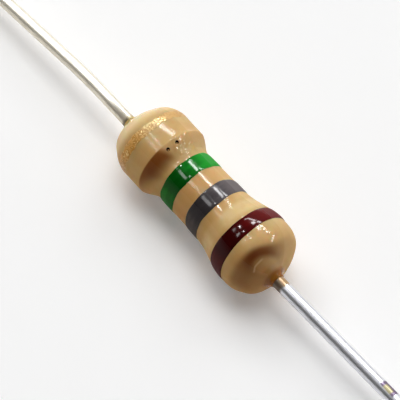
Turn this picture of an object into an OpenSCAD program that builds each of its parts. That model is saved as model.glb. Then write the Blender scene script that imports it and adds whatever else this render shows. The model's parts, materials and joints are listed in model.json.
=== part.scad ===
// Axial carbon film resistor: a ceramic rod with a trimmed carbon film, a pressed cap and a welded
// wire at each end, a dipped lacquer coat in a dog-bone shape, and four painted colour bands.
// +X runs along the body to the end that the brown band is on, +Z is up. The origin is on the
// surface that the resistor lies on, under the middle of the body. All sizes are in millimetres.

/* [Core and film] */
// Diameter of the ceramic rod
core_d = 1.4; // [1.1:0.05:2]
// Thickness of the resistive film
film_t = 0.04; // [0.03:0.01:0.08]
// Number of turns of the spiral cut that trims the film
trim_turns = 5; // [3:1:7]
// Width of the spiral cut
trim_w = 0.12; // [0.08:0.01:0.2]
// Film left uncut inside each cap's rim
trim_margin = 0.35; // [0.2:0.05:0.5]

/* [End caps] */
// Wall of the pressed caps, round the rod and over its end
cap_wall = 0.15; // [0.1:0.01:0.25]
// Depth of each cap from its face to its rim
cap_l = 1.15; // [0.9:0.05:1.4]
// Rounding of each cap's outer corner
cap_round = 0.14; // [0.05:0.01:0.2]

/* [Lacquer coat] */
// Length of the lacquered body between the tops of its domed ends
body_l = 6.5; // [5.4:0.1:8]
// Lacquer over each cap's face, up to the top of the dome
end_lacquer = 0.5; // [0.4:0.05:0.7]
// Lacquer round the caps, where the bulbs are thickest
bulb_lacquer = 0.31; // [0.25:0.01:0.4]
// Lacquer round the film, at the waist
waist_lacquer = 0.21; // [0.18:0.01:0.24]
// Length of each domed end
dome_l = 0.85; // [0.7:0.05:1]
// Length of the near shoulder, from the waist up to the bulb
near_shoulder = 1.35; // [1:0.05:1.5]
// Length of the far shoulder, which is steeper
far_shoulder = 0.7; // [0.5:0.05:1]
// How far the near shoulder runs past the cap's rim
near_overrun = 0.45; // [0.2:0.05:0.6]
// How far the far shoulder runs past the cap's rim
far_overrun = 0.1; // [0:0.05:0.3]
// Sideways offset of the rod inside the lacquer
offset_y = -0.1; // [-0.12:0.01:0.12]
// Upward offset of the rod inside the lacquer
offset_z = -0.03; // [-0.1:0.01:0.1]
// How far the lacquer creeps out along each wire
neck_l = 0.14; // [0.05:0.01:0.25]
// Lacquer left round the wire at the tip of that neck
neck_wall = 0.05; // [0.04:0.01:0.1]
// Diameter of the two pinholes in the far shoulder
pinhole_d = 0.07; // [0.05:0.01:0.1]
// Depth of the pinholes
pinhole_depth = 0.12; // [0.06:0.01:0.15]

/* [Colour bands] */
// Thickness of the paint
paint_t = 0.03; // [0.02:0.005:0.05]
// Near end of the body to the brown band
brown_from_end = 1.06; // [0.9:0.01:1.2]
// Width of the brown band
brown_w = 0.53; // [0.4:0.01:0.7]
// Middle of the body to the grey band's centre, towards the near end
grey_x = 0.52; // [0.4:0.01:0.7]
// Width of the grey band
grey_w = 0.54; // [0.3:0.01:0.6]
// Middle of the body to the green band's centre, towards the far end
green_x = 0.61; // [0.5:0.01:0.8]
// Width of the green band
green_w = 0.58; // [0.3:0.01:0.6]
// Far end of the body to the gold band
gold_from_end = 0.81; // [0.65:0.01:0.9]
// Width of the gold band
gold_w = 0.28; // [0.15:0.01:0.35]

/* [Wires] */
// Diameter of both wires
lead_d = 0.4; // [0.35:0.01:0.6]
// Length of each wire outside the body, measured along its axis
lead_l = 15.75; // [9:0.25:30]
// Body to the knee where the near wire starts to slope, inside the lacquer's neck
near_knee = 0.05; // [0:0.01:0.1]
// Body to the knee where the far wire is bent aside
far_knee = 2.1; // [1:0.1:4]
// Sideways angle of the near wire, in degrees
near_yaw = 3; // [-5:0.1:5]
// Sideways angle of the far wire, in degrees
far_yaw = 2.5; // [-5:0.1:5]
// How much fatter a wire is at its knee, all round
knee_swell = 0.01; // [0.01:0.005:0.03]
// Diameter of the weld where each wire meets its cap
weld_d = 0.66; // [0.62:0.02:0.8]
// Length of the weld
weld_l = 0.14; // [0.1:0.01:0.2]

/* [Hidden] */
$fn = 96;

// Radii, built up from the ceramic rod outwards
core_r = core_d / 2;
film_r = core_r + film_t;
cap_r = film_r + cap_wall;
waist_r = film_r + waist_lacquer;
bulb_r = cap_r + bulb_lacquer;
band_r = bulb_r + paint_t;
lead_r = lead_d / 2;
neck_r = lead_r + neck_wall;
neck_flare = 3 * neck_wall;    // how much wider the neck is where it leaves the dome, all round
weld_r = weld_d / 2;
weld_tip_r = lead_r / 2;      // the weld's cone ends inside the wire
knee_gap = 2 * knee_swell;    // each straight of a wire ends this far short of the knee's centre

// Stations along X, taken on the near side: each is the same distance from the middle at the far side
half_l = body_l / 2;
cap_face = half_l - end_lacquer;
core_half = cap_face - cap_wall;
cap_rim = cap_face - cap_l;
dome_start = half_l - dome_l;
neck_root = dome_start + dome_l / 2;
neck_tip = half_l + neck_l;
near_full = cap_rim + near_overrun;
far_full = cap_rim + far_overrun;

// The body lies on the paint of its two outer bands, and the rod sits a little off the lacquer's axis
axis_z = band_r;
rod_y = offset_y;
rod_z = axis_z + offset_z;

// Each pinhole: how far it is inside the far cap's rim, and its turn round the body from the top
PINHOLES = [[0.185, -5], [0.2, 12]];

OUTLINE_STEPS = 8;    // straight pieces in each rounded stretch of an outline
TRIM_STEPS = 20;      // pieces in one turn of the spiral cut
TRIM_SLACK = 0.03;    // how far the spiral cutter stands past both faces of the film
BROWN = "#5a1410";
GREY = "#6b6468";
GREEN = "#1f8a2c";
GOLD = "#b8913c";
LACQUER = "#d2b184";
TIN = "#c9cbd0";
STEEL = "#a9adb3";
CERAMIC = "#ece7dc";
CARBON = "#2c2a2b";

// A smooth rise from 0 to 1 while t goes from 0 to 1
function ease(t) = t <= 0 ? 0 : t >= 1 ? 1 : t * t * (3 - 2 * t);

// Radius of the lacquer, x away from the middle on the side whose shoulder is given
function side_r(x, full, shoulder) =
    x >= dome_start
        ? bulb_r * sqrt(max(0, 1 - pow((x - dome_start) / dome_l, 2)))
        : waist_r + (bulb_r - waist_r) * ease((x - full + shoulder) / shoulder);
function coat_r(x) = x >= 0 ? side_r(x, near_full, near_shoulder) : side_r(-x, far_full, far_shoulder);

// Stations of one side's outline, from the waist to the top of the dome
function shoulder_stations(full, shoulder) =
    [for (i = [0:OUTLINE_STEPS]) full - shoulder * (1 - i / OUTLINE_STEPS)];
function dome_stations() =
    [for (i = [0:OUTLINE_STEPS]) dome_start + dome_l * sin(90 * i / OUTLINE_STEPS)];
function reversed(list) = [for (i = [len(list) - 1:-1:0]) list[i]];
near_stations = concat(shoulder_stations(near_full, near_shoulder), dome_stations());
far_stations = concat(shoulder_stations(far_full, far_shoulder), dome_stations());
stations = concat(-1 * reversed(far_stations), near_stations);

// Turns a shape drawn about the Z axis so that its axis runs along +X at the given place
module along_x(y, z) {
    translate([0, y, z])
        rotate([0, 90, 0])
            children();
}

module on_coat_axis() {
    along_x(0, axis_z) children();
}

module on_rod_axis() {
    along_x(rod_y, rod_z) children();
}

// The outside of the lacquer, as one solid with no hollow
module coat_form() {
    on_coat_axis()
        rotate_extrude()
            polygon([for (x = stations) [coat_r(x), x]]);
}

// Lacquer drawn out along one wire: a collar that narrows in a hollow curve
module neck_form() {
    curve_start = half_l - neck_flare;
    curve = [for (i = [0:OUTLINE_STEPS])
        let (a = 90 * i / OUTLINE_STEPS)
        [neck_r + neck_flare * (1 - sin(a)), curve_start + (neck_tip - curve_start) * (1 - cos(a))]];
    rotate_extrude()
        polygon(concat([[0, neck_root], [neck_r + neck_flare, neck_root]], curve, [[0, neck_tip]]));
}

// A rod from cap face to cap face inside, centred on the rod's axis
module rod(r) {
    translate([0, 0, -core_half])
        cylinder(r = r, h = 2 * core_half);
}

module ceramic_core() {
    color(CERAMIC)
        on_rod_axis() rod(core_r);
}

// A square-section cutter that winds round the rod's axis
module spiral_cutter() {
    span = 2 * (cap_rim - trim_margin);
    steps = trim_turns * TRIM_STEPS;
    inner = core_r - TRIM_SLACK;
    outer = film_r + TRIM_SLACK;
    section = [[inner, -trim_w / 2], [outer, -trim_w / 2], [outer, trim_w / 2], [inner, trim_w / 2]];
    points = [for (i = [0:steps], corner = section)
        let (a = 360 * i / TRIM_STEPS)
        [corner[0] * cos(a), corner[0] * sin(a), corner[1] + span * (i / steps - 1 / 2)]];
    sides = [for (i = [0:steps - 1], k = [0:3])
        let (a = 4 * i + k, b = 4 * i + (k + 1) % 4)
        each [[a, b, a + 4], [b, b + 4, a + 4]]];
    first_end = [3, 2, 1, 0];
    last_end = [for (k = [0:3]) 4 * steps + k];
    polyhedron(points, concat([first_end], sides, [last_end]));
}

module resistive_film() {
    color(CARBON)
        on_rod_axis()
            difference() {
                rod(film_r);
                rod(core_r);
                spiral_cutter();
            }
}

// A cap with its closed face towards +Z, as a solid plug
module cap_form() {
    corner = [for (i = [0:OUTLINE_STEPS])
        let (a = 90 * i / OUTLINE_STEPS)
        [cap_r - cap_round * (1 - cos(a)), cap_face - cap_round * (1 - sin(a))]];
    rotate_extrude()
        polygon(concat([[0, cap_rim], [cap_r, cap_rim]], corner, [[0, cap_face]]));
}

module cap() {
    difference() {
        cap_form();
        cylinder(r = film_r, h = core_half);
    }
}

module end_cap_near() {
    color(STEEL)
        on_rod_axis() cap();
}

module end_cap_far() {
    color(STEEL)
        on_rod_axis() mirror([0, 0, 1]) cap();
}

// One wire, welded to the cap's face and running towards +X: straight out to its knee, then along a
// line that turns sideways by yaw and falls until the wire's cut end touches the ground
module lead(knee, yaw) {
    knee_x = half_l + knee;
    slope_l = lead_l - knee;
    fall = asin(rod_z / norm([slope_l, lead_r])) - atan(lead_r / slope_l);
    translate([cap_face, 0, 0])
        rotate([0, 90, 0]) {
            cylinder(r = lead_r, h = knee_x - knee_gap - cap_face);
            cylinder(r1 = weld_r, r2 = weld_tip_r, h = weld_l);
        }
    translate([knee_x, 0, 0]) {
        sphere(r = lead_r + knee_swell);
        rotate([0, 90 + fall, yaw])
            translate([0, 0, knee_gap])
                cylinder(r = lead_r, h = slope_l - knee_gap);
    }
}

module lead_near() {
    color(TIN)
        translate([0, rod_y, rod_z])
            lead(near_knee, near_yaw);
}

module lead_far() {
    color(TIN)
        translate([0, rod_y, rod_z])
            mirror([1, 0, 0])
                lead(far_knee, -far_yaw);
}

// A pinhole's cutter, square to the lacquer of the far shoulder
module pinhole(inset, turn) {
    x = inset - cap_rim;
    slope = atan2(coat_r(x + pinhole_d) - coat_r(x - pinhole_d), 2 * pinhole_d);
    translate([x, 0, axis_z])
        rotate([turn, 0, 0])
            translate([0, 0, coat_r(x)])
                rotate([0, -slope, 0])
                    translate([0, 0, -pinhole_depth])
                        cylinder(d = pinhole_d, h = 2 * pinhole_depth);
}

module coating() {
    color(LACQUER)
        difference() {
            union() {
                coat_form();
                on_rod_axis() neck_form();
                on_rod_axis() mirror([0, 0, 1]) neck_form();
            }
            on_rod_axis() rod(film_r);
            on_rod_axis() cap_form();
            on_rod_axis() mirror([0, 0, 1]) cap_form();
            lead_near();
            lead_far();
            for (hole = PINHOLES)
                pinhole(hole[0], hole[1]);
        }
}

// A ring of paint on the lacquer between two stations
module band(low, high) {
    inner_r = film_r;
    own = concat([low], [for (x = stations) if (x > low && x < high) x], [high]);
    skin = [for (x = own) [coat_r(x) + paint_t, x]];
    difference() {
        on_coat_axis()
            rotate_extrude()
                polygon(concat([[inner_r, low]], skin, [[inner_r, high]]));
        coat_form();
    }
}

module band_brown() {
    outer = half_l - brown_from_end;
    color(BROWN) band(outer - brown_w, outer);
}

module band_grey() {
    color(GREY) band(grey_x - grey_w / 2, grey_x + grey_w / 2);
}

module band_green() {
    color(GREEN) band(-green_x - green_w / 2, -green_x + green_w / 2);
}

module band_gold() {
    outer = -half_l + gold_from_end;
    color(GOLD) band(outer, outer + gold_w);
}

ceramic_core();
resistive_film();
end_cap_near();
end_cap_far();
lead_near();
lead_far();
coating();
band_brown();
band_grey();
band_green();
band_gold();
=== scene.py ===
"""The looks of the axial resistor: lacquer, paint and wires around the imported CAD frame.

Sizes are in millimetres until the meshes, the camera and the shaders turn them into metres. The body lies
along X, with its near end towards +X. A station is a place along X, measured from the body's middle. A turn
is an angle round the body, 0 at the top and positive towards -Y: radians in the meshes, degrees in the
materials.
"""
import json
import math

import bpy
import numpy as np
from mathutils import Matrix, Vector


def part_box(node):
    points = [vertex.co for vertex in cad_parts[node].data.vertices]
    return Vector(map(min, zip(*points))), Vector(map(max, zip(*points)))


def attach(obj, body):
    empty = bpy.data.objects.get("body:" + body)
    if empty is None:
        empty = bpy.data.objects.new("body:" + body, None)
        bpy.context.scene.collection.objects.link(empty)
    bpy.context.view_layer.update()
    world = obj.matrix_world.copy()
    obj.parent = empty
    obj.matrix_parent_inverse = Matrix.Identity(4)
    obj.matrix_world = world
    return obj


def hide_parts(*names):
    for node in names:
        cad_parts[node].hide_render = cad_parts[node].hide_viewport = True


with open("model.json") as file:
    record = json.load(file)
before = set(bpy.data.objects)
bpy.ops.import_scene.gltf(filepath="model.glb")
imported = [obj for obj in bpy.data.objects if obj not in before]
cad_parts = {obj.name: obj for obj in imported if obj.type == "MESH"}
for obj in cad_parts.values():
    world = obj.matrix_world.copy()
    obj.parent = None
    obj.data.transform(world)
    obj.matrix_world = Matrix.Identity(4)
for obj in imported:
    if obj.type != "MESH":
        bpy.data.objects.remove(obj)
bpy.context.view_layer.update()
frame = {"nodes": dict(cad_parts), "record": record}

MM = 0.001
BODY = "root"


# ---------------------------------------------------------------- sizes taken from the frame

def box_mm(node):
    """Lowest and highest corner of a CAD node, in millimetres."""
    low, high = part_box(node)
    return np.array(low) / MM, np.array(high) / MM


def mount(name):
    """One of the record's mounts."""
    return next(m for m in frame["record"]["mounts"] if m["name"] == name)


def mount_mm(name):
    """Position, in millimetres, and unit axis of one of the record's mounts."""
    axis = np.array(mount(name)["axis"])
    return np.array(mount(name)["pos_m"]) / MM, axis / np.linalg.norm(axis)


brown_low, brown_high = box_mm("band_brown")
cap_low, cap_high = box_mm("end_cap_near")
_, coat_high = box_mm("coating")
AXIS_Z = (brown_low[2] + brown_high[2]) / 2
BAND_R = (brown_high[2] - brown_low[2]) / 2
CAP_FACE = cap_high[0]
ROD_Y = (cap_low[1] + cap_high[1]) / 2
ROD_Z = (cap_low[2] + cap_high[2]) / 2
NECK_TIP = coat_high[0]
WIRE_R = mount("lead_near")["dims"]["r_mm"]


# ---------------------------------------------------------------- the lacquer's form

HALF_L = 3.25             # middle of the body to the top of each dome
PAINT_T = 0.018           # paint on the lacquer
GOLD_T = 0.008            # the gold paint is thinner
LUMP_ROOM = 0.012         # room for the lumps inside the CAD's outline
BULB_R = BAND_R - PAINT_T - LUMP_ROOM
WAIST_R = 0.945
WAIST_TAPER = 0.018       # the waist is this much fatter at its near end than in its middle
NEAR_FOOT, NEAR_CREST = 0.72, 2.08
FAR_FOOT, FAR_EDGE = 1.0, 1.55
DOME_START = 2.3
NEAR_DOME_POWER = 2.3
FAR_DOME_POWER = 2.0
DOME_STOP = 3.13          # from here on the neck's curve takes over
NECK_CORNER = 3.21
NECK_R = WIRE_R + 0.05    # lacquer round each wire
PINHOLES = [(-1.415, math.radians(-5)), (-1.40, math.radians(12))]
PINHOLE_R = 0.042
PINHOLE_DEPTH = 0.10
PINHOLE_LIP, PINHOLE_LIP_REACH = 0.005, 0.07


def ease(t):
    """A smooth rise from 0 to 1 while t goes from 0 to 1."""
    t = np.clip(t, 0.0, 1.0)
    return t * t * (3 - 2 * t)


def side_form(x, foot, crest, blend, power):
    """Radius of one side of the body, x away from its middle."""
    t = np.clip((x - foot) / (crest - foot), 0, 1)
    climb = blend * ease(t) + (1 - blend) * t ** 1.6
    dome = np.clip((x - DOME_START) / (HALF_L - DOME_START), 0, 1)
    return np.where(x < DOME_START, WAIST_R + (BULB_R - WAIST_R) * climb, BULB_R * np.sqrt(1 - dome ** power))


def coat_radius(x):
    """Mean radius of the lacquer at station x."""
    near = side_form(x, NEAR_FOOT, NEAR_CREST, 1.0, NEAR_DOME_POWER)
    far = side_form(-x, FAR_FOOT, FAR_EDGE, 0.55, FAR_DOME_POWER)
    waist = WAIST_TAPER * np.clip(x, -1, 1) * (1 - ease((np.abs(x) - 0.8) / 0.6))
    return np.where(x >= 0, near, far) + waist


def lumps(x, turn):
    """How uneven the dipped lacquer is: a few hundredths of a millimetre, in long waves."""
    long_waves = 0.006 * np.sin(2 * turn + 1.3 + 0.5 * x) + 0.004 * np.sin(3 * turn - 1.7 * x + 0.6)
    short_waves = 0.0018 * np.sin(5 * turn + 4.1 * x + 1.0) + 0.0013 * np.sin(7 * turn - 7.3 * x)
    # a low swelling on top of the far side, leaning across the body
    lean = (0.04 - 0.30 * (x + 2.2)) * np.exp(-((x + 1.9) / 0.45) ** 4)
    swelling = lean * np.sin(5 * (turn + 0.08)) / 5 * np.exp(-((turn + 0.08) / 0.5) ** 2)
    # and a faint hollow along the middle of it
    hollow = -0.001 * np.exp(-((turn + 0.08 + 0.29 * (x + 1.92)) / 0.09) ** 2 / 2 - ((x + 1.9) / 0.45) ** 4)
    return (long_waves + short_waves + swelling + hollow) * (1 - ease((np.abs(x) - 2.9) / 0.3))


def surface(x, turn, lift=0.0):
    """Points on the lacquer, lifted off it by `lift`."""
    r = coat_radius(x) + lumps(x, turn) + lift
    return np.stack([x, -r * np.sin(turn), AXIS_Z + r * np.cos(turn)], -1)


# ---------------------------------------------------------------- mesh helpers

def mesh_object(name, points, faces, material):
    """A smooth mesh object from points in millimetres, riding on the part's body."""
    mesh = bpy.data.meshes.new(name)
    mesh.from_pydata((np.asarray(points) * MM).tolist(), [], faces)
    mesh.validate()
    mesh.polygons.foreach_set("use_smooth", [True] * len(mesh.polygons))
    obj = bpy.data.objects.new(name, mesh)
    bpy.context.scene.collection.objects.link(obj)
    mesh.materials.append(material)
    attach(obj, BODY)
    return obj


def ring_faces(rings, around, closed_loop=False):
    """Quads between rings of `around` points; with closed_loop the last ring joins the first."""
    last = rings if closed_loop else rings - 1
    faces = []
    for i in range(last):
        a, b = i * around, (i + 1) % rings * around
        faces += [(a + j, a + (j + 1) % around, b + (j + 1) % around, b + j) for j in range(around)]
    return faces


def end_faces(rings, around):
    """The two flat faces that close a run of rings."""
    return [tuple(reversed(range(around))), tuple(range((rings - 1) * around, rings * around))]


def spread(low, high, count, peaks):
    """Stations from low to high, drawn together round each peak (place, half width, weight)."""
    fine = np.linspace(low, high, 4000)
    density = np.ones_like(fine)
    for place, width, weight in peaks:
        density += weight * np.exp(-((fine - place) / width) ** 2)
    total = np.concatenate([[0], np.cumsum((density[1:] + density[:-1]) / 2)])
    return np.interp(np.linspace(0, total[-1], count), total, fine)


def quad_curve(start, corner, end, t):
    """Points on a quadratic curve from start to end, drawn towards the corner."""
    return (1 - t) ** 2 * np.array(start) + 2 * t * (1 - t) * np.array(corner) + t ** 2 * np.array(end)


# ---------------------------------------------------------------- node helpers

def add(tree, kind, inputs=None, **settings):
    """A new node with its settings and its inputs, which are values or other nodes' sockets."""
    node = tree.nodes.new(kind)
    for key, value in settings.items():
        setattr(node, key, value)
    for key, value in (inputs or {}).items():
        if isinstance(value, bpy.types.NodeSocket):
            tree.links.new(value, node.inputs[key])
        else:
            node.inputs[key].default_value = value
    return node


def math_node(tree, operation, *values):
    return add(tree, "ShaderNodeMath", dict(enumerate(values)), operation=operation).outputs[0]


def vector_node(tree, operation, *values):
    return add(tree, "ShaderNodeVectorMath", dict(enumerate(values)), operation=operation).outputs


def times(tree, product, *values):
    """The product of all the values."""
    for value in values:
        product = math_node(tree, "MULTIPLY", product, value)
    return product


def linear(tree, value, gain, offset):
    """value * gain + offset"""
    return math_node(tree, "MULTIPLY_ADD", value, gain, offset)


def rise(tree, value, low, high):
    """A smooth rise from 0 to 1 as value goes from low to high; low may be the larger."""
    node = add(tree, "ShaderNodeMapRange", {"Value": value, "From Min": low, "From Max": high},
               interpolation_type="SMOOTHERSTEP")
    return node.outputs["Result"]


def window(tree, value, start, full, fading, stop):
    """1 while value lies between full and fading, and 0 before start and after stop."""
    return times(tree, rise(tree, value, start, full), rise(tree, value, stop, fading))


def distance_from(tree, value, middle):
    """How far value lies from middle, on either side."""
    return math_node(tree, "ABSOLUTE", math_node(tree, "SUBTRACT", value, middle))


def mix_value(tree, factor, first, second):
    return add(tree, "ShaderNodeMix", {0: factor, 2: first, 3: second}).outputs[0]


def mix_colour(tree, factor, first, second):
    """A mix of two tones, which are RGB triples or colour sockets."""
    first, second = ((*tone, 1) if isinstance(tone, tuple) else tone for tone in (first, second))
    return add(tree, "ShaderNodeMix", {0: factor, 6: first, 7: second}, data_type="RGBA").outputs[2]


def lay(tree, colour, mask, share, tone):
    """The colour with a share of another tone laid over it where the mask is 1."""
    return mix_colour(tree, times(tree, mask, share), colour, tone)


def scaled(tone, share):
    """A tone, lighter or darker by a share."""
    return tuple(share * channel for channel in tone)


def noise(tree, vector, scale, detail=2.0, roughness=0.5, distortion=0.0):
    node = add(tree, "ShaderNodeTexNoise", {"Vector": vector, "Scale": scale, "Detail": detail,
                                            "Roughness": roughness, "Distortion": distortion})
    return node.outputs["Fac"]


def place_mm(tree):
    """The place on the object, in millimetres, and the same with its origin on the body's axis."""
    coords = add(tree, "ShaderNodeTexCoord").outputs["Object"]
    place = vector_node(tree, "MULTIPLY", coords, (1 / MM,) * 3)[0]
    return place, vector_node(tree, "SUBTRACT", place, (0, 0, AXIS_Z))[0]


def station_and_turn(tree, centred):
    """Station along the body in millimetres, and the turn round it in degrees."""
    parts = add(tree, "ShaderNodeSeparateXYZ", {0: centred})
    sideways = times(tree, parts.outputs["Y"], -1.0)
    turn = math_node(tree, "ARCTAN2", sideways, parts.outputs["Z"])
    return parts.outputs["X"], times(tree, turn, 180 / math.pi)


def dull_side(tree, turn):
    """How far round the body, away from its top, a place lies: 0 on top and 1 at the sides and below."""
    return rise(tree, distance_from(tree, turn, 5), 22, 60)


def stretch(tree, vector, factors):
    return vector_node(tree, "MULTIPLY", vector, factors)[0]


def bump(tree, height, distance_mm, strength=1.0, normal=None):
    inputs = {"Height": height, "Distance": distance_mm * MM, "Strength": strength}
    if normal is not None:
        inputs["Normal"] = normal
    return add(tree, "ShaderNodeBump", inputs).outputs["Normal"]


def new_material(name):
    """An empty material with its Principled shader wired to the output."""
    material = bpy.data.materials.new(name)
    material.use_nodes = True
    tree = material.node_tree
    return material, tree, tree.nodes["Principled BSDF"]


def wire_in(tree, shader, **sockets):
    """Links or sets the shader's inputs; underscores in the names stand for spaces."""
    for key, value in sockets.items():
        target = shader.inputs[key.replace("_", " ")]
        if isinstance(value, bpy.types.NodeSocket):
            tree.links.new(value, target)
        else:
            target.default_value = value


# ---------------------------------------------------------------- lacquer

def lacquer_ground(tree, place, station, turn):
    """The lacquer's tones: cloudy, warmer on the waist, where painted light makes it lighter towards +Y, the
    side the light comes from, and paler on the near bulb's flank.
    """
    cloud = rise(tree, noise(tree, place, 0.9, 3.0, 0.55, 0.4), 0.35, 0.7)
    colour = mix_colour(tree, cloud, (0.70, 0.46, 0.195), (0.75, 0.52, 0.235))
    waist = rise(tree, math_node(tree, "ABSOLUTE", station), 1.15, 0.8)
    # painted light: the waist's tone is lighter towards +Y, where the light comes from
    waist_painted_light = mix_colour(tree, rise(tree, turn, -5, -35), (0.68, 0.38, 0.15), (0.80, 0.50, 0.22))
    colour = lay(tree, colour, waist, 0.7, waist_painted_light)
    flank = window(tree, station, 1.0, 1.25, 1.45, 1.7)
    colour = lay(tree, colour, flank, 0.8, (0.84, 0.63, 0.32))
    mottle = rise(tree, noise(tree, place, 3.4, 3.0, 0.6), 0.4, 0.75)
    return lay(tree, colour, mottle, 0.22, (0.62, 0.30, 0.11))


def far_end_tones(tree, colour, station, turn):
    """Painted light on the far dome, painted shade on the -Y side from there on, and dark lacquer just past
    the far cap's rim, partly a thin coat and partly painted shade.
    """
    # painted light: the far dome is painted paler, standing in for more light from the far end
    colour = lay(tree, colour, rise(tree, station, -2.35, -2.9), 0.9, (0.97, 0.77, 0.44))
    # painted shade: browner on the -Y side, away from the light, from the far dome all along the body
    painted_shade_side = times(tree, window(tree, turn, 14, 38, 50, 68), rise(tree, station, -2.7, -2.3))
    colour = lay(tree, colour, painted_shade_side, 0.5, (0.56, 0.30, 0.09))
    # dark lacquer past the far cap's rim: partly the cap under a thin coat, partly painted shade, strongest
    # on the -Y side
    rim = rise(tree, station, -1.57, -1.51)
    reach = linear(tree, rise(tree, turn, 50, 85), -0.2, -0.98)
    past_rim = times(tree, rim, rise(tree, math_node(tree, "SUBTRACT", station, reach), 0.1, -0.42))
    slanted = math_node(tree, "ADD", turn, linear(tree, station, 28, 36))
    facing = times(tree, rise(tree, slanted, 5, 23), rise(tree, turn, 150, 45))
    thin = times(tree, past_rim, linear(tree, facing, 0.82, 0.06))
    return mix_colour(tree, thin, colour, (0.235, 0.06, 0.006))


def near_end_tones(tree, colour, station, turn):
    """Painted shade on the near dome towards -Y, a dark curved band that is partly the cap's corner showing
    through and partly painted shade, and a fine pale scratch.
    """
    # painted shade: the near dome is browner towards -Y, away from the light
    end = times(tree, rise(tree, station, 2.4, 3.1), rise(tree, turn, -30, 40))
    colour = lay(tree, colour, end, 0.5, (0.38, 0.17, 0.05))

    # a dark curved band: partly the cap's corner through the lacquer, partly painted shade, mostly on the -Y
    # side
    middle = linear(tree, rise(tree, turn, -25, 38), -0.25, 3.0)
    off_middle = math_node(tree, "SUBTRACT", station, middle)
    wider = rise(tree, turn, 28, 62)
    left = rise(tree, off_middle, linear(tree, wider, -0.08, -0.28), -0.03)
    right = rise(tree, off_middle, linear(tree, wider, 0.4, 0.24), 0.0)
    weaker = linear(tree, wider, -0.45, 1.0)
    band = times(tree, left, right, weaker, rise(tree, turn, -60, 30), rise(tree, turn, 150, 55))
    colour = lay(tree, colour, band, 0.9, (0.15, 0.025, 0.002))

    bend = linear(tree, rise(tree, turn, 36, 50), 0.05, 2.945)
    scratch = rise(tree, distance_from(tree, station, bend), 0.028, 0.008)
    scratch = times(tree, scratch, window(tree, turn, 17, 24, 47, 52))
    return lay(tree, colour, scratch, 0.45, (0.85, 0.62, 0.34))


def neck_mask(tree, place, station):
    """1 on the lacquer that is drawn out along the wires."""
    off_wire = vector_node(tree, "SUBTRACT", place, (0, ROD_Y, ROD_Z))[0]
    off_wire = vector_node(tree, "LENGTH", stretch(tree, off_wire, (0, 1, 1)))["Value"]
    out = rise(tree, math_node(tree, "ABSOLUTE", station), HALF_L - 0.24, HALF_L - 0.14)
    return times(tree, out, rise(tree, off_wire, 0.46, 0.29))


def lacquer_ripple(tree, place, station, turn):
    """Low waves, stronger and finer on top of the far shoulder, where lacquer runs over the cap's rim."""
    ripple = bump(tree, noise(tree, place, 2.2, 1.0), 0.010, 0.15)
    over_rim = times(tree, window(tree, station, -1.66, -1.5, -1.1, -0.9), rise(tree, turn, 10, -4))
    ripple = bump(tree, times(tree, noise(tree, place, 7.0, 1.0), over_rim), 0.042, 1.0, ripple)
    return bump(tree, noise(tree, place, 6.0, 1.0), 0.001, 0.1, ripple)


def lacquer_material():
    """Glossy beige lacquer, a little cloudy, with painted light and painted shade on its sides, and browner
    over the caps' edges, partly where it is thin and partly as painted shade.
    """
    material, tree, shader = new_material("beige_lacquer")
    place, centred = place_mm(tree)
    station, turn = station_and_turn(tree, centred)
    colour = lacquer_ground(tree, place, station, turn)
    colour = far_end_tones(tree, colour, station, turn)
    colour = near_end_tones(tree, colour, station, turn)
    rough = linear(tree, rise(tree, station, -1.1, -1.7), 0.04, 0.13)
    rough = linear(tree, dull_side(tree, turn), 0.45, rough)

    # painted shade: the air marks are painted near-black inside, and they are dull
    cloudy = 0.5
    for hole_x, hole_turn in PINHOLES:
        middle = tuple(surface(np.array(hole_x), np.array(hole_turn)).tolist())
        away = vector_node(tree, "DISTANCE", place, middle)["Value"]
        shaded_pit = rise(tree, away, PINHOLE_R * 1.5, PINHOLE_R * 1.15)
        colour = mix_colour(tree, shaded_pit, colour, (0.012, 0.005, 0.002))
        cloudy = times(tree, cloudy, math_node(tree, "SUBTRACT", 1.0, shaded_pit))
        rough = math_node(tree, "MAXIMUM", rough, shaded_pit)

    neck = neck_mask(tree, place, station)
    neck_tone = mix_colour(tree, rise(tree, station, -1, 1), (0.55, 0.36, 0.13), (0.36, 0.13, 0.012))
    colour = lay(tree, colour, neck, 0.9, neck_tone)
    rough = mix_value(tree, neck, rough, 0.12)
    wire_in(tree, shader, Base_Color=colour, Roughness=rough, IOR=1.5, Subsurface_Weight=cloudy,
            Subsurface_Radius=(1.0, 0.35, 0.12), Subsurface_Scale=0.5 * MM, Specular_IOR_Level=0.2,
            Normal=lacquer_ripple(tree, place, station, turn))
    return material


# ---------------------------------------------------------------- paint, metal and ceramic

def paint_material(name, light, dark, roughness):
    """Glossy paint with a mottle between two tones, with painted light towards +Y, where the light comes
    from, and painted shade on the -Y side, weaker low down.
    """
    material, tree, shader = new_material(name)
    place, centred = place_mm(tree)
    _, turn = station_and_turn(tree, centred)
    streaks = noise(tree, stretch(tree, place, (4.0, 1.2, 1.2)), 1.6, 3.0, 0.55)
    colour = mix_colour(tree, rise(tree, streaks, 0.35, 0.65), dark, light)
    # painted light: lighter towards +Y, where the light comes from
    colour = mix_colour(tree, rise(tree, turn, -5, -35), colour, scaled(light, 1.15))
    # painted shade: darker on the -Y side, away from the light, less so low down
    below = linear(tree, rise(tree, turn, 50, 75), -0.55, 1.0)
    run = times(tree, rise(tree, turn, -16, 38), below)
    colour = lay(tree, colour, run, 0.88, scaled(dark, 0.25))
    ripple = bump(tree, noise(tree, stretch(tree, place, (2.0, 1.0, 1.0)), 2.6, 2.0), 0.012, 0.25)
    rough = linear(tree, dull_side(tree, turn), 0.55, roughness)
    wire_in(tree, shader, Base_Color=colour, Roughness=rough, IOR=1.5, Specular_IOR_Level=0.2, Normal=ripple)
    return material


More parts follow.
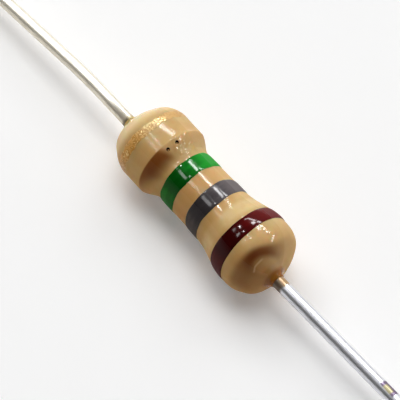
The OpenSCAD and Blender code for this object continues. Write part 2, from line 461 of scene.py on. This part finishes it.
def gold_material():
    """Thin gold paint, worn through to the lacquer in flakes, with bright metallic grains."""
    material, tree, shader = new_material("worn_gold_paint")
    place, centred = place_mm(tree)
    _, turn = station_and_turn(tree, centred)
    grain = noise(tree, place, 22.0, 2.0, 0.6)
    sparkle = rise(tree, grain, 0.55, 0.62)
    off_worn_top = math_node(tree, "MAXIMUM", rise(tree, turn, -32, -8), rise(tree, turn, -38, -60))
    wear = rise(tree, noise(tree, place, 7.0, 5.0, 0.65, 0.6), 0.40, 0.55)
    held = times(tree, wear, linear(tree, off_worn_top, 0.7, 0.3))

    # the lacquer that shows between the flakes
    ground = mix_colour(tree, rise(tree, turn, 38, 8), (0.76, 0.39, 0.09), (1.0, 0.78, 0.35))
    ground = mix_colour(tree, rise(tree, turn, 0, -20), ground, (0.80, 0.49, 0.19))
    ground = mix_colour(tree, rise(tree, turn, -25, -50), ground, (0.66, 0.37, 0.10))
    blotch = rise(tree, noise(tree, place, 2.0, 2.0), 0.4, 0.6)
    ground = lay(tree, ground, blotch, 0.4, (0.88, 0.54, 0.19))

    flake = mix_colour(tree, sparkle, (0.56, 0.24, 0.04), (1.0, 0.80, 0.36))
    colour = lay(tree, ground, held, 0.7, flake)
    metal = times(tree, held, sparkle, 0.5)
    wire_in(tree, shader, Base_Color=colour, Metallic=metal, Roughness=0.35, IOR=1.5,
            Specular_IOR_Level=0.25, Normal=bump(tree, grain, 0.008, 0.7))
    return material


MARK_X = 7.84             # middle of the mark along the near wire


def wire_material(name, tone, metallic, roughness, stain_reach, stain_tone):
    """Tin plating with fine lines along the wire, stained with lacquer for stain_reach past the dome, the
    stain painted darker on its -Y side as painted shade.
    """
    material, tree, shader = new_material(name)
    place, _ = place_mm(tree)
    parts = add(tree, "ShaderNodeSeparateXYZ", {0: place}).outputs
    station, across = parts["X"], parts["Y"]
    lines = noise(tree, stretch(tree, place, (0.25, 9.0, 9.0)), 3.0, 3.0, 0.6)
    blotch = noise(tree, place, 1.7, 3.0, 0.6)
    colour = mix_colour(tree, rise(tree, blotch, 0.3, 0.75), tone, scaled(tone, 0.88))
    patchy = linear(tree, noise(tree, place, 6.0, 2.0), 0.16, math_node(tree, "ABSOLUTE", station))
    stain = rise(tree, patchy, HALF_L + stain_reach, HALF_L + stain_reach - 0.16)
    # painted shade: the stain is much darker on the wire's -Y side
    stain_shade_side = rise(tree, across, ROD_Y + 0.03, ROD_Y - 0.09)
    stain_and_shade = mix_colour(tree, stain_shade_side, stain_tone, scaled(stain_tone, 0.25))
    colour = lay(tree, colour, stain, 0.92, stain_and_shade)

    # a dark mark with a khaki middle, on top of the near wire
    off_mark = distance_from(tree, station, MARK_X)
    mark = times(tree, rise(tree, off_mark, 0.29, 0.22), rise(tree, across, 0.05, 0.11))
    inside = times(tree, rise(tree, off_mark, 0.18, 0.11), rise(tree, across, 0.27, 0.20))
    mark_tone = mix_colour(tree, inside, (0.20, 0.14, 0.24), (0.52, 0.46, 0.24))
    colour = mix_colour(tree, mark, colour, mark_tone)

    covered = math_node(tree, "MAXIMUM", stain, mark)
    metal = linear(tree, covered, -metallic * 0.8, metallic)
    rough = linear(tree, blotch, 0.12, roughness - 0.06)
    wire_in(tree, shader, Base_Color=colour, Metallic=metal, Roughness=rough,
            Normal=bump(tree, lines, 0.004, 0.35))
    return material


def plain_metal(name, tone, roughness):
    """Plated sheet metal with a faint grain."""
    material, tree, shader = new_material(name)
    place, _ = place_mm(tree)
    grain = noise(tree, stretch(tree, place, (8.0, 1.5, 1.5)), 4.0, 3.0)
    wire_in(tree, shader, Base_Color=mix_colour(tree, grain, tone, scaled(tone, 0.75)), Metallic=1.0,
            Roughness=roughness, Normal=bump(tree, grain, 0.003, 0.4))
    return material


def matt_material(name, light, dark, roughness, scale):
    """A fired surface, mottled between two tones."""
    material, tree, shader = new_material(name)
    place, _ = place_mm(tree)
    grain = noise(tree, place, scale, 4.0, 0.6)
    wire_in(tree, shader, Base_Color=mix_colour(tree, grain, dark, light), Roughness=roughness,
            Normal=bump(tree, grain, 0.004, 0.5))
    return material


# ---------------------------------------------------------------- the coat of lacquer

# these keep the coat below 200,000 triangles
BODY_RINGS, NECK_RINGS, COAT_AROUND = 276, 13, 310


def neck_outline(sign, start_r):
    """From the dome out along one wire to the tip of the neck, then in to a hidden ring inside the wire."""
    t = np.linspace(0, 1, NECK_RINGS + 1)[1:, None]
    curve = quad_curve((DOME_STOP, start_r), (NECK_CORNER, NECK_R - 0.01),
                       (NECK_TIP - 0.03, WIRE_R + 0.036), t)
    tip = [(NECK_TIP - 0.008, WIRE_R + 0.018), (NECK_TIP, WIRE_R + 0.004), (NECK_TIP, WIRE_R - 0.03),
           (NECK_TIP - 0.02, WIRE_R - 0.1)]
    both = np.concatenate([curve, tip])
    return sign * both[:, 0], both[:, 1]


def coat_outline():
    """The lacquer's outline as stations, radii and how far each ring is centred on the wires."""
    # closer rings at the far cap's rim and where both domes turn into their necks
    peaks = [(-1.5, 0.12, 1.6), (-3.05, 0.12, 1.5), (3.05, 0.12, 1.5)]
    body = spread(-DOME_STOP, DOME_STOP, BODY_RINGS, peaks)
    radii = coat_radius(body)
    near_x, near_r = neck_outline(1, radii[-1])
    far_x, far_r = neck_outline(-1, radii[0])
    x = np.concatenate([far_x[::-1], body, near_x])
    r = np.concatenate([far_r[::-1], radii, near_r])
    return x, r, ease((np.abs(x) - 2.75) / 0.38)


def make_coat(material):
    """The whole lacquer as one closed skin, with its necks and its pinholes."""
    x, r, shift = coat_outline()
    # closer points on top, round the pinholes
    turns = spread(-math.pi, math.pi, COAT_AROUND + 1, [(math.radians(4), 0.16, 2.2)])[:-1]
    station, turn = np.meshgrid(x, turns, indexing="ij")
    radius = r[:, None] + lumps(station, turn)
    for hole_x, hole_turn in PINHOLES:
        away = np.hypot(station - hole_x, (turn - hole_turn) * radius)
        pit = PINHOLE_DEPTH * np.clip(1 - (away / PINHOLE_R) ** 2, 0, 1)
        radius = radius - pit + PINHOLE_LIP * np.exp(-(away / PINHOLE_LIP_REACH) ** 2)
    y = -radius * np.sin(turn) + shift[:, None] * ROD_Y
    z = AXIS_Z + radius * np.cos(turn) + shift[:, None] * (ROD_Z - AXIS_Z)
    points = np.stack([station, y, z], -1).reshape(-1, 3)
    rings, around = station.shape
    faces = ring_faces(rings, around) + end_faces(rings, around)
    coat = mesh_object("lacquer_coat", points, faces, material)
    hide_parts("coating")


# ---------------------------------------------------------------- the bands

BAND_AROUND, BAND_ACROSS = 320, 22
BAND_ROOT = -0.03         # the band's underside lies this far inside the lacquer


def make_band(name, node, material, wander, thickness=PAINT_T):
    """A ring of paint: it follows the lacquer, its edges wander, and they thin out to nothing."""
    low, high = box_mm(node)
    turns = np.linspace(-math.pi, math.pi, BAND_AROUND + 1)[:-1]
    left = low[0] + wander(turns, 0)
    right = high[0] + wander(turns, 1)
    across = np.linspace(0, 1, BAND_ACROSS)
    profile = thickness * (1 - np.abs(2 * across - 1) ** 5) ** 0.6 - 0.002
    rings = [surface(left + (right - left) * t, turns, lift) for t, lift in zip(across, profile)]
    rings += [surface(left + (right - left) * t, turns, BAND_ROOT) for t in (0.98, 0.02)]
    faces = ring_faces(len(rings), len(turns), closed_loop=True)
    band = mesh_object(name, np.stack(rings).reshape(-1, 3), faces, material)
    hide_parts(node)


def wave(turns, *terms):
    """Sum of sines round the body, each (size, waves, phase)."""
    return sum(size * np.sin(waves * turns + phase) for size, waves, phase in terms)


# how the edges of each band wander: side 0 is the edge towards the far end, side 1 the other

def brown_wander(turns, side):
    if side:
        return 0.005 + wave(turns, (0.022, 1, -0.6), (0.008, 3, 0.4), (0.003, 9, 0.2))
    return wave(turns, (0.014, 1, 2.4), (0.009, 4, 1.0), (0.003, 11, 2.0))


def grey_wander(turns, side):
    if side:
        return 0.012 + wave(turns, (0.022, 2, 0.9), (0.010, 5, 0.2), (0.004, 11, 1.0))
    return wave(turns, (0.014, 2, -1.6), (0.009, 4, 0.3), (0.004, 9, 1.4))


def green_wander(turns, side):
    if side:
        return wave(turns, (0.010, 2, 0.6), (0.013, 6, -0.9), (0.004, 13, 0.3))
    return wave(turns, (0.009, 2, 0.2), (0.008, 5, 2.2), (0.004, 12, 0.9))


def gold_wander(turns, side):
    if side:
        return wave(turns, (0.025, 2, 0.5), (0.014, 7, 0.2), (0.012, 17, 0.8), (0.008, 31, 2.0))
    return wave(turns, (0.020, 2, 1.9), (0.012, 6, 1.2), (0.010, 19, 0.1), (0.008, 37, 0.4))


# ---------------------------------------------------------------- the wires

WIRE_AROUND = 48
BEND_POINTS, OUTER_POINTS = 40, 200
WIRE_OVAL = 0.006         # how far the drawn wire is from round, as a share of its radius
# rings over the cut end, each (share of the radius, set back)
SHEARED_END = ((0.97, 0.02), (0.93, 0.008), (0.85, 0.0), (0.45, 0.006), (0.02, 0.01))


def wire_path(sign, mount_name, bend_l):
    """Points along one wire: straight out of the cap, round a smooth bend, down to its cut end."""
    middle, axis = mount_mm(mount_name)
    knee = middle + axis * (ROD_Y - middle[1]) / axis[1]
    root = np.array([sign * CAP_FACE, ROD_Y, ROD_Z])
    tip = knee + 2 * (middle - knee)
    straight = np.linalg.norm(knee - root)
    start = knee - (knee - root) / straight * min(bend_l, straight - 0.1)
    end = knee + axis * bend_l
    bend = quad_curve(start, knee, end, np.linspace(0, 1, BEND_POINTS)[:, None])
    outer = np.linspace(0, 1, OUTER_POINTS)[1:, None]
    return np.concatenate([root[None], bend, end + (tip - end) * outer])


def make_wire(name, node, sign, mount_name, bend_l, material):
    """A drawn round wire with a faint waviness and a sheared end, as one closed skin."""
    path = wire_path(sign, mount_name, bend_l)
    turns = np.linspace(0, 2 * math.pi, WIRE_AROUND + 1)[:-1]
    ahead = np.gradient(path, axis=0)
    ahead /= np.linalg.norm(ahead, axis=1, keepdims=True)
    side = np.cross(ahead, [0, 0, 1])
    side /= np.linalg.norm(side, axis=1, keepdims=True)
    up = np.cross(side, ahead)
    length = np.concatenate([[0], np.cumsum(np.linalg.norm(np.diff(path, axis=0), axis=1))])

    def ring(i, share=1.0, inset=0.0):
        """The ring at path point i, as a share of the wire's radius, set back by `inset`."""
        out = np.cos(turns)[:, None] * up[i] + np.sin(turns)[:, None] * side[i]
        r = WIRE_R * share * (1 - WIRE_OVAL + WIRE_OVAL * np.sin(2 * turns + 0.9 * length[i]))
        return path[i] - inset * ahead[i] + r[:, None] * out

    last = len(path) - 1
    rings = [ring(i) for i in range(last)] + [ring(last, share, inset) for share, inset in SHEARED_END]
    faces = ring_faces(len(rings), WIRE_AROUND) + end_faces(len(rings), WIRE_AROUND)
    wire = mesh_object(name, np.concatenate(rings), faces, material)
    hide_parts(node)


# ---------------------------------------------------------------- camera, light and floor

CAMERA_AZIMUTH = 51.5
CAMERA_ELEVATION = 58.7
CAMERA_DISTANCE = 78.35
CAMERA_LENS = 247.5
AIM_RIGHT, AIM_UP = -0.151, -0.051


def make_camera():
    """The camera looks down along the body, from its near end."""
    azimuth, elevation = math.radians(CAMERA_AZIMUTH), math.radians(CAMERA_ELEVATION)
    back = Vector((math.sin(azimuth) * math.cos(elevation), -math.cos(azimuth) * math.cos(elevation),
                   math.sin(elevation)))
    right = Vector((math.cos(azimuth), math.sin(azimuth), 0))
    aim = Vector((0, 0, AXIS_Z)) + AIM_RIGHT * right + AIM_UP * back.cross(right)
    data = bpy.data.cameras.new("camera")
    data.lens = CAMERA_LENS
    data.clip_start, data.clip_end = 0.005, 5.0  # metres
    camera = bpy.data.objects.new("camera", data)
    camera.location = (aim + back * CAMERA_DISTANCE) * MM
    camera.rotation_mode = "QUATERNION"
    camera.rotation_quaternion = (-back).to_track_quat("-Z", "Y")
    bpy.context.scene.collection.objects.link(camera)
    bpy.context.scene.camera = camera


LAMP_DISTANCE = 0.4       # metres


def make_lamp(name, start, end, thickness_deg, radiance, mirrored=True):
    """A lamp that reaches from one direction to another, each (x, y) at a height of 1 above the object.

    A mirrored lamp is seen only in reflections, and any other one lights only diffusely.
    """
    first, last = Vector((*start, 1.0)).normalized(), Vector((*end, 1.0)).normalized()
    away = (first + last).normalized()
    along = (last - first).normalized()
    data = bpy.data.lights.new(name, "AREA")
    data.shape = "RECTANGLE"
    data.size = (last - first).length * LAMP_DISTANCE
    data.size_y = 2 * LAMP_DISTANCE * math.tan(math.radians(thickness_deg) / 2)
    data.energy = radiance * math.pi * data.size * data.size_y
    lamp = bpy.data.objects.new(name, data)
    turned = Matrix((along, away.cross(along), away)).transposed().to_4x4()
    lamp.matrix_world = Matrix.Translation(away * LAMP_DISTANCE) @ turned
    lamp.visible_glossy = mirrored
    lamp.visible_diffuse = not mirrored
    bpy.context.scene.collection.objects.link(lamp)


ROOM_LEVEL = 0.03
ROOM_BEHIND = 0.4
HORIZON_LEVEL = 0.93


def make_world():
    """A dim room, brighter on the side away from the camera, with a pale strip at the horizon."""
    world = bpy.data.worlds.new("room")
    world.use_nodes = True
    bpy.context.scene.world = world
    tree = world.node_tree
    tree.nodes.clear()
    direction = add(tree, "ShaderNodeTexCoord").outputs["Generated"]
    _, y, z = add(tree, "ShaderNodeSeparateXYZ", {0: direction}).outputs
    level = linear(tree, rise(tree, y, 0.15, 0.6), ROOM_BEHIND, ROOM_LEVEL)
    horizon = rise(tree, math_node(tree, "ABSOLUTE", z), 0.06, 0.03)
    level = math_node(tree, "MAXIMUM", level, times(tree, horizon, HORIZON_LEVEL))
    room = add(tree, "ShaderNodeBackground", {"Color": (1, 1, 1, 1), "Strength": level}).outputs[0]
    add(tree, "ShaderNodeOutputWorld", {"Surface": room})


PAPER_HALF = 300.0
PAPER_SHINE = 0.2         # emission that the camera, metal and glass see; it lightens the shadow


def make_floor():
    """White paper, warmer in the light that it throws back on the object than where it is seen."""
    mesh = bpy.data.meshes.new("floor")
    corners = [(-1, -1, 0), (1, -1, 0), (1, 1, 0), (-1, 1, 0)]
    mesh.from_pydata([tuple(PAPER_HALF * MM * c for c in corner) for corner in corners], [], [(0, 1, 2, 3)])
    floor = bpy.data.objects.new("floor", mesh)
    bpy.context.scene.collection.objects.link(floor)
    material, tree, shader = new_material("paper")
    place, _ = place_mm(tree)
    grain = noise(tree, place, 1.2, 3.0)
    rays = add(tree, "ShaderNodeLightPath").outputs
    seen = math_node(tree, "MAXIMUM", rays["Is Camera Ray"], rays["Is Glossy Ray"])
    seen = math_node(tree, "MAXIMUM", seen, rays["Is Transmission Ray"])
    white = mix_colour(tree, grain, (0.88, 0.88, 0.88), (0.905, 0.905, 0.905))
    colour = mix_colour(tree, seen, (0.88, 0.72, 0.52), white)
    wire_in(tree, shader, Base_Color=colour, Roughness=0.9, Specular_IOR_Level=0.1,
            Emission_Color=(1, 1, 1, 1), Emission_Strength=times(tree, seen, PAPER_SHINE))
    mesh.materials.append(material)


# ---------------------------------------------------------------- the scene

make_coat(lacquer_material())

brown = paint_material("brown_paint", (0.128, 0.004, 0.0035), (0.095, 0.003, 0.003), 0.1)
grey = paint_material("grey_paint", (0.140, 0.120, 0.124), (0.092, 0.080, 0.086), 0.13)
green = paint_material("green_paint", (0.008, 0.31, 0.020), (0.003, 0.20, 0.010), 0.1)
make_band("paint_brown", "band_brown", brown, brown_wander)
make_band("paint_grey", "band_grey", grey, grey_wander)
make_band("paint_green", "band_green", green, green_wander)
make_band("paint_gold", "band_gold", gold_material(), gold_wander, GOLD_T)

tin_near = wire_material("tin_near", (0.79, 0.80, 0.85), 0.85, 0.36, 0.60, (0.52, 0.30, 0.10))
tin_far = wire_material("tin_far", (0.97, 0.92, 0.79), 0.58, 0.38, 0.38, (0.66, 0.56, 0.32))
make_wire("wire_near", "lead_near", 1, "lead_near", 0.35, tin_near)
make_wire("wire_far", "lead_far", -1, "lead_far", 0.9, tin_far)

ceramic = matt_material("ceramic", (0.85, 0.83, 0.78), (0.7, 0.68, 0.62), 0.6, 5.0)
carbon = matt_material("carbon", (0.05, 0.05, 0.055), (0.02, 0.02, 0.022), 0.45, 9.0)
nodes = frame["nodes"]
nodes["ceramic_core"].data.materials[0] = ceramic
nodes["resistive_film"].data.materials[0] = carbon
for cap in ("end_cap_near", "end_cap_far"):
    nodes[cap].data.materials[0] = plain_metal("plated_" + cap, (0.66, 0.67, 0.68), 0.35)

make_camera()
make_world()
make_lamp("tube_far", (-0.67, 0.52), (-0.42, 0.50), 8.0, 42.0)
make_lamp("tube_left", (-1.15, 0.46), (-0.66, 0.77), 3.5, 30.0)
make_lamp("tube_right", (-0.57, 0.78), (0.06, 0.90), 5.0, 34.0)
make_lamp("tube_end", (0.40, 1.30), (0.85, 0.80), 4.5, 30.0)
make_lamp("soft_patch", (-0.62, -0.43), (-0.47, -0.42), 10.0, 12.0)
make_lamp("soft_patch_left", (-1.15, -0.44), (-0.86, -0.44), 8.0, 7.0)
make_lamp("spot_left", (-0.82, -0.10), (-0.71, -0.10), 3.5, 120.0)
make_lamp("spot_right", (-0.42, -0.14), (-0.37, -0.14), 3.0, 85.0)
make_lamp("soft_key", (-1.20, 0.14), (-0.65, 0.14), 42.0, 5.6, mirrored=False)
make_lamp("soft_top", (-0.60, 0.20), (0.35, 0.20), 25.0, 3.1, mirrored=False)
make_lamp("soft_back", (-0.70, 1.0), (0.10, 1.0), 25.0, 1.8, mirrored=False)
make_floor()

bpy.context.scene.view_settings.view_transform = "Standard"
